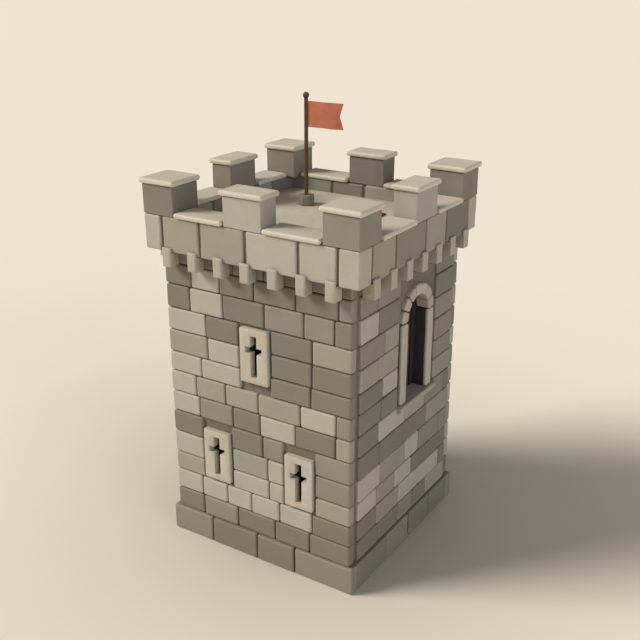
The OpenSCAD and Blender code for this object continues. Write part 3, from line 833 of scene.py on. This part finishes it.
# %% Softened copies
LOOP_ACROSS = [(0.030, 0.0825), (0.1925, 0.220)]
LOOP_UP = [(0.165, 0.140), (0.760, 0.7025), (0.820, 0.8475), (1.110, 1.115)]
PLATE_FORWARD, PLATE_NARROWER = 0.020, 0.010


def moved_to(value, pairs):
    for old, new in pairs:
        if abs(value - old) < 0.002:
            return new
    return value


def wider_cross(built, node):
    low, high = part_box(node)
    middle, half = (low.x + high.x) / 2, (high.x - low.x) / 2
    face = max(abs(low.y), abs(high.y))
    for vert in built.verts:
        across = moved_to(abs(vert.co.x - middle), LOOP_ACROSS)
        if across > half - 0.040:
            across -= PLATE_NARROWER
        vert.co.x = middle + math.copysign(across, vert.co.x - middle)
        vert.co.z = low.z + moved_to(vert.co.z - low.z, LOOP_UP)
        if abs(vert.co.y) > face - 0.002:
            vert.co.y += math.copysign(PLATE_FORWARD, vert.co.y)


def softened(nodes, name, width, material, sharp=35, tone=0.5, warmth=0.5, reshape=None):
    built, mesh = copy_of(nodes, name)
    if reshape:
        reshape(built, nodes[0])
    bmesh.ops.dissolve_limit(built, angle_limit=math.radians(0.5), verts=built.verts,
                             edges=built.edges)
    keen = [e for e in built.edges
            if len(e.link_faces) == 2 and e.calc_face_angle(0) > math.radians(sharp)]
    made = bmesh.ops.bevel(built, geom=keen, offset=width, offset_type="OFFSET", segments=2,
                           profile=0.5, affect="EDGES", clamp_overlap=True)
    layer = built.verts.layers.float.new("edge")
    tones = built.verts.layers.float.new("tone")
    warmths = built.verts.layers.float.new("warmth")
    for face in made["faces"]:
        for vert in face.verts:
            vert[layer] = 1.0
    for vert in built.verts:
        vert[tones], vert[warmths] = tone, warmth
    return place_mesh(built, mesh, name, material, nodes, 32)


for label in SIDE_NAMES:
    softened(["corbels_" + label], "corbel_stones_" + label, 0.010, DRESSED_STONE,
             tone=0.30, warmth=0.2)
for wall in ("front", "back"):
    for place in ("left", "right", "top"):
        node = f"{wall}_loop_{place}"
        softened([node], node + "_plate", 0.012, DRESSED_STONE, tone=0.42,
                 warmth=0.3, reshape=wider_cross)
softened(["door_sills"], "sill_slabs", 0.008, DRESSED_STONE, tone=0.0, warmth=0.8)

# %% [markdown]
# ## Jambs and arches of the doorways
#
# The jambs are tall rounded blocks. The arch above them is a ring of seven wedge stones with
# open joints. A wedge stone starts as a straight rounded block, laid along the middle line
# of the ring, and is then bent: its length becomes an angle and its height a radius.

# %% Doorway stones
jambs = islands("door_jambs")
RING_IN = (jambs[-1][0][1] - jambs[-2][1][1]) / 2        # inner and outer radius of the ring
RING_OUT = (jambs[-1][1][1] - jambs[-2][0][1]) / 2
DOOR_Y = (jambs[-1][1][1] + jambs[-2][0][1]) / 2
DOOR_FOOT, SPRING = jambs[-1][0][2], jambs[-1][1][2]
ARCH_STONES, ARCH_GAP, RING_EDGE = 7, 0.026, 0.050
ARCH_DEPTH = 0.330                              # how deep the wedge stones reach into the wall
print("doorway at y", round(DOOR_Y, 3), "ring", round(RING_IN, 3), "to", round(RING_OUT, 3))


def bent(points, radius):
    """bends what lies along x round the y axis, on a circle of a radius"""
    angle = math.pi - points[:, 0] / radius
    return np.stack([points[:, 2] * np.cos(angle), points[:, 1], points[:, 2] * np.sin(angle)], 1)


def bent_normals(normals, points, radius):
    angle = math.pi - points[:, 0] / radius
    across, up = normals[:, 0], normals[:, 2]
    return np.stack([across * np.sin(angle) + up * np.cos(angle), normals[:, 1],
                     up * np.sin(angle) - across * np.cos(angle)], 1)


def doorway_stones(side):
    centre = DOOR_Y if side == 1 else -DOOR_Y
    front, blocks = -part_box("door_arches")[1].x + 0.003, []
    for x0, x1 in ((-RING_OUT, -RING_IN), (RING_IN, RING_OUT)):
        low, high = (x0, front, DOOR_FOOT + 0.004), (x1, MORTAR - SHAFT, SPRING - 0.010)
        shape = rounded_block(low, high, RING_EDGE, inner=(1, 0, 6), wobble=0.002)
        blocks.append(stone(shape, (rng.uniform(0.3, 0.5), rng.uniform(0.2, 0.5))))
    radius = (RING_IN + RING_OUT) / 2
    length = math.pi * radius / ARCH_STONES
    for k in range(ARCH_STONES):
        low = (k * length + ARCH_GAP / 2, front + rng.uniform(0, 0.008), RING_IN + 0.002)
        high = ((k + 1) * length - ARCH_GAP / 2, ARCH_DEPTH - SHAFT, RING_OUT - 0.002)
        p, n, e, q = rounded_block(low, high, RING_EDGE, inner=(5, 1, 1), wobble=0.002)
        n = bent_normals(n, p, radius)
        p = bent(p, radius) + np.array([0, 0, SPRING])
        blocks.append((p, n, e, q, rng.uniform(0.3, 0.6), rng.uniform(0.2, 0.5)))
    return [(turned(p + np.array([centre, 0, 0]), side), turned(n, side), e, q, t, w)
            for p, n, e, q, t, w in blocks]


join_blocks("doorway_stones", doorway_stones(1) + doorway_stones(3), DRESSED_STONE,
            ["door_jambs", "door_arches"])

# %% [markdown]
# ## The roof deck and the pole's socket
#
# The deck is paved and rendered smooth, so one softened slab will do, with the stone
# material's patches to keep it from looking poured. The socket is an eight-sided stone with
# its top edge chamfered, and the pole stands in its bore.

# %% Deck and socket
# the deck's pale tone is partly its own colour and partly painted light for the sun on the flat
# roof
softened(["roof_deck"], "deck_paving", 0.006, DRESSED_STONE, tone=0.7, warmth=0.9)
softened(["flag_socket"], "socket_stone", 0.022, WALL_STONE, tone=0.05, warmth=0.6)

# %% [markdown]
# ## Floors and beams
#
# Inside, the ground floor is paved, and oak joists carry the boards of the upper floor. The
# boards are laid one by one with narrow gaps between them. The beams under the roof deck are
# squared oak, like the joists.

# %% Floors
def lay_boards(node, name, axis, width, gap, material, edge=0.004):
    """boards side by side along one axis, filling a node's box"""
    low, high = (np.array(corner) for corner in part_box(node))
    count = max(1, round((high[axis] - low[axis]) / width))
    step = (high[axis] - low[axis]) / count
    blocks = []
    for k in range(count):
        a, b = low.copy(), high.copy()
        a[axis], b[axis] = low[axis] + k * step + gap / 2, low[axis] + (k + 1) * step - gap / 2
        shape = rounded_block(a, b, edge, inner=(0, 0, 0))
        blocks.append(stone(shape, (rng.uniform(0, 1), rng.uniform(0, 1))))
    return join_blocks(name, blocks, material, [node])


lay_boards("upper_floor_boards", "upper_floor_planks", 1, 0.22, 0.006, FLOOR_WOOD)
lay_slabs("upper_floor_joists", "upper_floor_beams", 0.008, HATCH_WOOD, pale_tone, 0, 0)
lay_slabs("roof_beams", "roof_timbers", 0.010, HATCH_WOOD, pale_tone, 0, 0)


def lay_paving():
    low, high = (np.array(corner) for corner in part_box("ground_floor"))
    blocks, rows = [], 6
    step = (high[1] - low[1]) / rows
    for row in range(rows):
        cuts = np.linspace(low[0], high[0], 5 + row % 2)
        cuts[1:-1] += rng.uniform(-0.08, 0.08, len(cuts) - 2)
        for x0, x1 in zip(cuts[:-1], cuts[1:]):
            a = (x0 + 0.004, low[1] + row * step + 0.004, low[2])
            b = (x1 - 0.004, low[1] + (row + 1) * step - 0.004, high[2] - rng.uniform(0, 0.004))
            shape = rounded_block(a, b, 0.012, inner=(0, 0, 0))
            blocks.append(stone(shape, (rng.uniform(0.1, 0.6), rng.uniform(0.2, 0.7))))
    return join_blocks("ground_floor_flags", blocks, WALL_STONE, ["ground_floor"])


lay_paving()

# %% [markdown]
# ## The doors
#
# Each leaf is made of upright oak planks under a round head. A plank is an outline cut from
# the arched shape between two upright lines, made solid with the leaf's thickness. The outer
# face of each plank gets a small bevel, so that the joints show as grooves.

# %% Door planks
def arched_plank(x0, x1, foot, spring, radius, steps=10):
    """outline, in x and z, of the part of a round-headed leaf between x0 and x1"""
    top = [(x, spring + math.sqrt(max(radius ** 2 - x ** 2, 0)))
           for x in np.linspace(x1, x0, steps)]
    return [(x0, foot), (x1, foot)] + top


def door_leaf(built, side, planks=5, gap=0.008, bevel=0.008):
    leaves = [box for box in islands("doors") if np.sign(box[0][0] + box[1][0]) == side]
    low, high = leaves[0]
    middle, radius = (low[1] + high[1]) / 2, (high[1] - low[1]) / 2
    spring = high[2] - radius
    outer, inner = (high[0], low[0]) if side > 0 else (low[0], high[0])
    width = 2 * radius / planks
    tones = built.verts.layers.float["tone"]
    for k in range(planks):
        x0 = -radius + k * width + (gap / 2 if k else 0.001)
        x1 = -radius + (k + 1) * width - (gap / 2 if k + 1 < planks else 0.001)
        ring = arched_plank(x0, x1, low[2], spring, radius)
        middle_x, middle_z = (x0 + x1) / 2, (low[2] + spring + radius) / 2
        layers = []
        for depth, shrink in ((inner, 0), (outer - side * bevel, 0), (outer, bevel)):
            verts = []
            for x, z in ring:
                x = x + math.copysign(shrink, middle_x - x)
                z = z + math.copysign(shrink, middle_z - z)
                verts.append(built.verts.new((depth, middle + x, z)))
            layers.append(verts)
        tone = rng.uniform(0, 1)
        for verts in layers:
            for vert in verts:
                vert[tones] = tone
        built.faces.new(layers[0])
        built.faces.new(layers[-1])
        for a, b in zip(layers[:-1], layers[1:]):
            for i in range(len(ring)):
                j = (i + 1) % len(ring)
                built.faces.new((a[i], a[j], b[j], b[i]))


built = bmesh.new()
built.verts.layers.float.new("tone")
for side in (1, -1):
    door_leaf(built, side)
bmesh.ops.recalc_face_normals(built, faces=built.faces)
leaf_mesh = bpy.data.meshes.new("door_planks")
place_mesh(built, leaf_mesh, "door_planks", DOOR_WOOD, ["doors"])
# the linings take the near-black painted shade of the deep doorways
softened(["door_linings"], "door_frames", 0.006, LINING_PAINTED_SHADE)
softened(["door_straps"], "strap_hinges", 0.002, IRON)

# %% [markdown]
# ## Nail heads
#
# Round-headed nails hold the strap hinges to the planks, four along each strap. A nail head
# is a low dome; the same small mesh is copied to each place.

# %% Nail heads
def dome(centre, direction, radius, rise, rings=3, around=10):
    """points and faces of a closed low dome that stands on a plane"""
    out = Vector(direction).normalized()
    side = out.orthogonal().normalized()
    up = out.cross(side)
    points, faces = [], []
    for r in range(rings):
        angle = r / rings * math.pi / 2
        for k in range(around):
            turn = 2 * math.pi * k / around
            flat = radius * math.cos(angle) * (side * math.cos(turn) + up * math.sin(turn))
            points.append(Vector(centre) + flat + out * rise * math.sin(angle))
    points.append(Vector(centre) + out * rise)
    faces.append(list(range(around))[::-1])
    for r in range(rings - 1):
        for k in range(around):
            j = (k + 1) % around
            a, b = r * around, (r + 1) * around
            faces.append([a + k, a + j, b + j, b + k])
    last = (rings - 1) * around
    faces += [[last + k, last + (k + 1) % around, rings * around] for k in range(around)]
    return points, faces


def join_shapes(name, shapes, material, replaced=(), smooth=True):
    points, faces, first = [], [], 0
    for p, f in shapes:
        points += [tuple(v) for v in p]
        faces += [[i + first for i in face] for face in f]
        first += len(p)
    piece = make_piece(name, points, faces, material, replaced)
    if smooth:
        piece.data.shade_smooth()
        piece.data.set_sharp_from_angle(angle=math.radians(40))
    return piece


NAIL_PLACES = (0.12, 0.38, 0.64, 0.9)            # shares of a strap's length
nails = []
for low, high in islands("door_straps"):
    side = np.sign(low[0])
    face = high[0] if side > 0 else low[0]
    for share in NAIL_PLACES:
        centre = (face - side * 0.001, low[1] + share * (high[1] - low[1]), (low[2] + high[2]) / 2)
        nails.append(dome(centre, (side, 0, 0), 0.015, 0.010))
join_shapes("strap_nails", nails, IRON)

# %% [markdown]
# ## The roof hatch
#
# The lid is a small door laid flat: boards side by side, and two battens across them. It
# laps over the opening in the deck, and a forged ring lies in its middle.

# %% Hatch
BOARD_COUNT, BATTEN_RISE, BATTEN_HALF = 5, 0.012, 0.05
BATTEN_PLACES = (0.16, 0.84)                    # shares of the lid's length
low, high = (np.array(corner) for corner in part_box("roof_hatch"))
step = (high[1] - low[1]) / BOARD_COUNT
lid_boxes = [((low[0], low[1] + k * step + 0.003, low[2]),
              (high[0], low[1] + (k + 1) * step - 0.003, high[2] - BATTEN_RISE))
             for k in range(BOARD_COUNT)]
batten_lines = [low[0] + share * (high[0] - low[0]) for share in BATTEN_PLACES]
lid_boxes += [((x - BATTEN_HALF, low[1] + 0.02, low[2] + 0.01),
               (x + BATTEN_HALF, high[1] - 0.02, high[2])) for x in batten_lines]
lid = [stone(rounded_block(a, b, 0.006, inner=(0, 0, 0)), (rng.uniform(0, 1), 0.5))
       for a, b in lid_boxes]
join_blocks("hatch_boards", lid, HATCH_WOOD, ["roof_hatch"])
studs = [dome((x, low[1] + (k + 0.5) * step, high[2] - 0.002), (0, 0, 1), 0.012, 0.007)
         for x in batten_lines for k in range(BOARD_COUNT)]
join_shapes("hatch_nails", studs, IRON)
CAD["hatch_ring"].data.materials.clear()
CAD["hatch_ring"].data.materials.append(IRON)

# %% [markdown]
# ## The pole and its knob
#
# The pole and the knob are plain turned shapes, so their solids stay and only get their
# materials: pine with the grain running up the pole, and forged iron.

# %% Pole and knob
for node, material in (("flagpole", POLE_WOOD), ("finial", IRON)):
    CAD[node].data.materials.clear()
    CAD[node].data.materials.append(material)
    print(node, "is", material.name)

# %% [markdown]
# ## The flag
#
# The flag is a sheet of dyed wool with a swallow-tail end, nailed to the pole along one side
# and lifted by a light wind. A cloth simulation would settle it hanging down, and the wind
# here holds it out, so its shape is computed: two crossing waves that are flat at the pole
# and grow towards the tips. The length along the waves gives the size the cloth was cut to.

# %% Material: wool bunting
def bunting_material():
    material, tree, shader = start_material("wool bunting", 0.88)
    place = add(tree, "TexCoord").outputs["Object"]
    weather = use_group(tree, patches, Position=place, Patch_size=0.25, Grain_size=0.01)
    colour = mix(tree, weather["Patch"], (0.400, 0.112, 0.060, 1), (0.480, 0.150, 0.082, 1))
    threads = []
    for axis in ((700.0, 0.0, 0.0), (0.0, 0.0, 700.0)):
        run = add(tree, "VectorMath", {"operation": "DOT_PRODUCT"}, i0=place, i1=axis)
        threads.append(maths(tree, "SINE", run.outputs["Value"]))
    weave = maths(tree, "MULTIPLY", *threads)
    shade = scaled(tree, weave, -1, 1, 0.94, 1.04)
    tree.links.new(shaded(tree, colour, shade), shader["Base Color"])
    shader["Sheen Weight"].default_value = 0.15
    bumped(tree, shader, weave, 0.0004, 0.4)
    return material


BUNTING = bunting_material()

# %% Flag sheet
FLAG_THICK = 0.004
low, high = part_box("flag")
flag_long, flag_high = high.x - low.x, high.z - low.z
flag_y, NOTCH = (low.y + high.y) / 2, 0.100


def wave(u, v):
    """how far the cloth stands out of its plane; u along, v up, both from 0 to 1"""
    grow = u ** 1.2
    return grow * (0.026 * math.sin(2 * math.pi * (1.15 * u + 0.18 * v) + 0.4)
                   + 0.012 * math.sin(2 * math.pi * (2.3 * u - 0.35 * v) + 1.0))


def flag_mesh(columns=64, rows=32):
    points = []
    for face in (-1, 1):
        for j in range(rows + 1):
            v = j / rows
            reach = flag_long - NOTCH * (1 - abs(2 * v - 1))
            for i in range(columns + 1):
                u = i / columns
                share = u * reach / flag_long
                points.append((low.x + u * reach, flag_y + wave(share, v) + face * FLAG_THICK / 2,
                               low.z + v * flag_high))
    line, sheet = columns + 1, (columns + 1) * (rows + 1)
    faces = []
    for j in range(rows):
        for i in range(columns):
            a = j * line + i
            faces.append((a, a + 1, a + line + 1, a + line))
            faces.append((sheet + a, sheet + a + line, sheet + a + line + 1, sheet + a + 1))
    rim = ([j * line for j in range(rows, 0, -1)] + list(range(columns))
           + [j * line + columns for j in range(rows)]
           + [rows * line + i for i in range(columns, 0, -1)])
    for a, b in zip(rim, rim[1:] + rim[:1]):
        faces.append((b, a, sheet + a, sheet + b))
    return points, faces


points, faces = flag_mesh()
flag = make_piece("flag_cloth", points, faces, BUNTING, ["flag"])
flag.data.shade_smooth()
flag.data.set_sharp_from_angle(angle=math.radians(40))

# %% [markdown]
# ## The floor
#
# The tower stands on a plain pale floor that runs to the horizon, so that the only shadow is
# its own. The floor is a disc. Round the foot of the tower its colour is darker: painted
# shade for the tower's contact shadow. Far away it takes the tone of the sky behind it.

# %% Floor
SKY = (0.888, 0.807, 0.665)
# the darker colours near the tower are painted shade at its foot; further out the floor grows
# paler towards the sky's tone
FLOOR_TONE_AND_PAINTED_SHADE = [(2.6, (0.56, 0.52, 0.45)), (3.4, (0.63, 0.585, 0.50)), (5.0, (0.72, 0.67, 0.57)),
          (8.0, (0.833, 0.76, 0.65)), (12.0, (0.91, 0.83, 0.717)), (20.0, (0.935, 0.862, 0.747))]


def floor_material():
    """FLOOR_TONE_AND_PAINTED_SHADE: the floor's colour at some distances from the middle of the
    tower, darker near it as painted shade for the tower's contact shadow
    """
    material, tree, shader = start_material("pale floor", 0.95)
    shader["Specular IOR Level"].default_value = 0.1
    place = add(tree, "TexCoord").outputs["Object"]
    reach = add(tree, "VectorMath", {"operation": "LENGTH"}, i0=place).outputs["Value"]
    ramp = add(tree, "ValToRGB", None, Fac=scaled(tree, reach, 0.0, 20.0))
    stops = ramp.color_ramp.elements
    for k, (distance, colour) in enumerate(FLOOR_TONE_AND_PAINTED_SHADE):
        stop = stops[k] if k < 2 else stops.new(1.0)
        stop.position = distance / 20.0
        stop.color = (*colour, 1)
    tree.links.new(ramp.outputs["Color"], shader["Base Color"])
    return material


bpy.ops.mesh.primitive_circle_add(vertices=96, radius=700, fill_type="NGON")
floor = bpy.context.object
floor.name = "floor"
floor.data.materials.append(floor_material())

# %% [markdown]
# ## Light
#
# A big soft sun stands to the left in front, so the front is lit and the right side is in
# shade. The sky fills in from everywhere, and a very wide low lamp from the right keeps the
# shaded side readable. Together they light a wall that faces the sun to about the colour that
# is written in its material.

# %% Sun, fill and sky
def sun_lamp(name, travel, strength, colour, spread):
    lamp = bpy.data.lights.new(name, "SUN")
    lamp.energy, lamp.color, lamp.angle = strength, colour, math.radians(spread)
    holder = bpy.data.objects.new(name, lamp)
    holder.rotation_euler = Vector(travel).to_track_quat("-Z", "Y").to_euler()
    bpy.context.scene.collection.objects.link(holder)
    return holder


sun_lamp("sun", (0.66, 0.49, -0.57), 3.45, (1.0, 0.965, 0.90), 25)
sun_lamp("fill", (-0.80, 0.30, -0.03), 2.10, (0.900, 0.955, 1.0), 60)

world = bpy.data.worlds.new("sky")
world.use_nodes = True
bpy.context.scene.world = world
sky = world.node_tree
base = sky.nodes["Background"]
base.inputs["Color"].default_value = (1.0, 0.985, 0.95, 1)
base.inputs["Strength"].default_value = 0.21
seen = add(sky, "Background", None, Color=(*SKY, 1), Strength=1.0).outputs[0]
rays = add(sky, "LightPath").outputs
shown = maths(sky, "MAXIMUM", rays["Is Camera Ray"], rays["Is Glossy Ray"])
chosen = add(sky, "MixShader", None, i0=shown, i1=base.outputs[0], i2=seen)
sky.links.new(chosen.outputs[0], sky.nodes["World Output"].inputs["Surface"])
print("lights ready")

# %% [markdown]
# ## Finish
#
# Last, the view layer is brought up to date.

# %% Finish
bpy.context.view_layer.update()
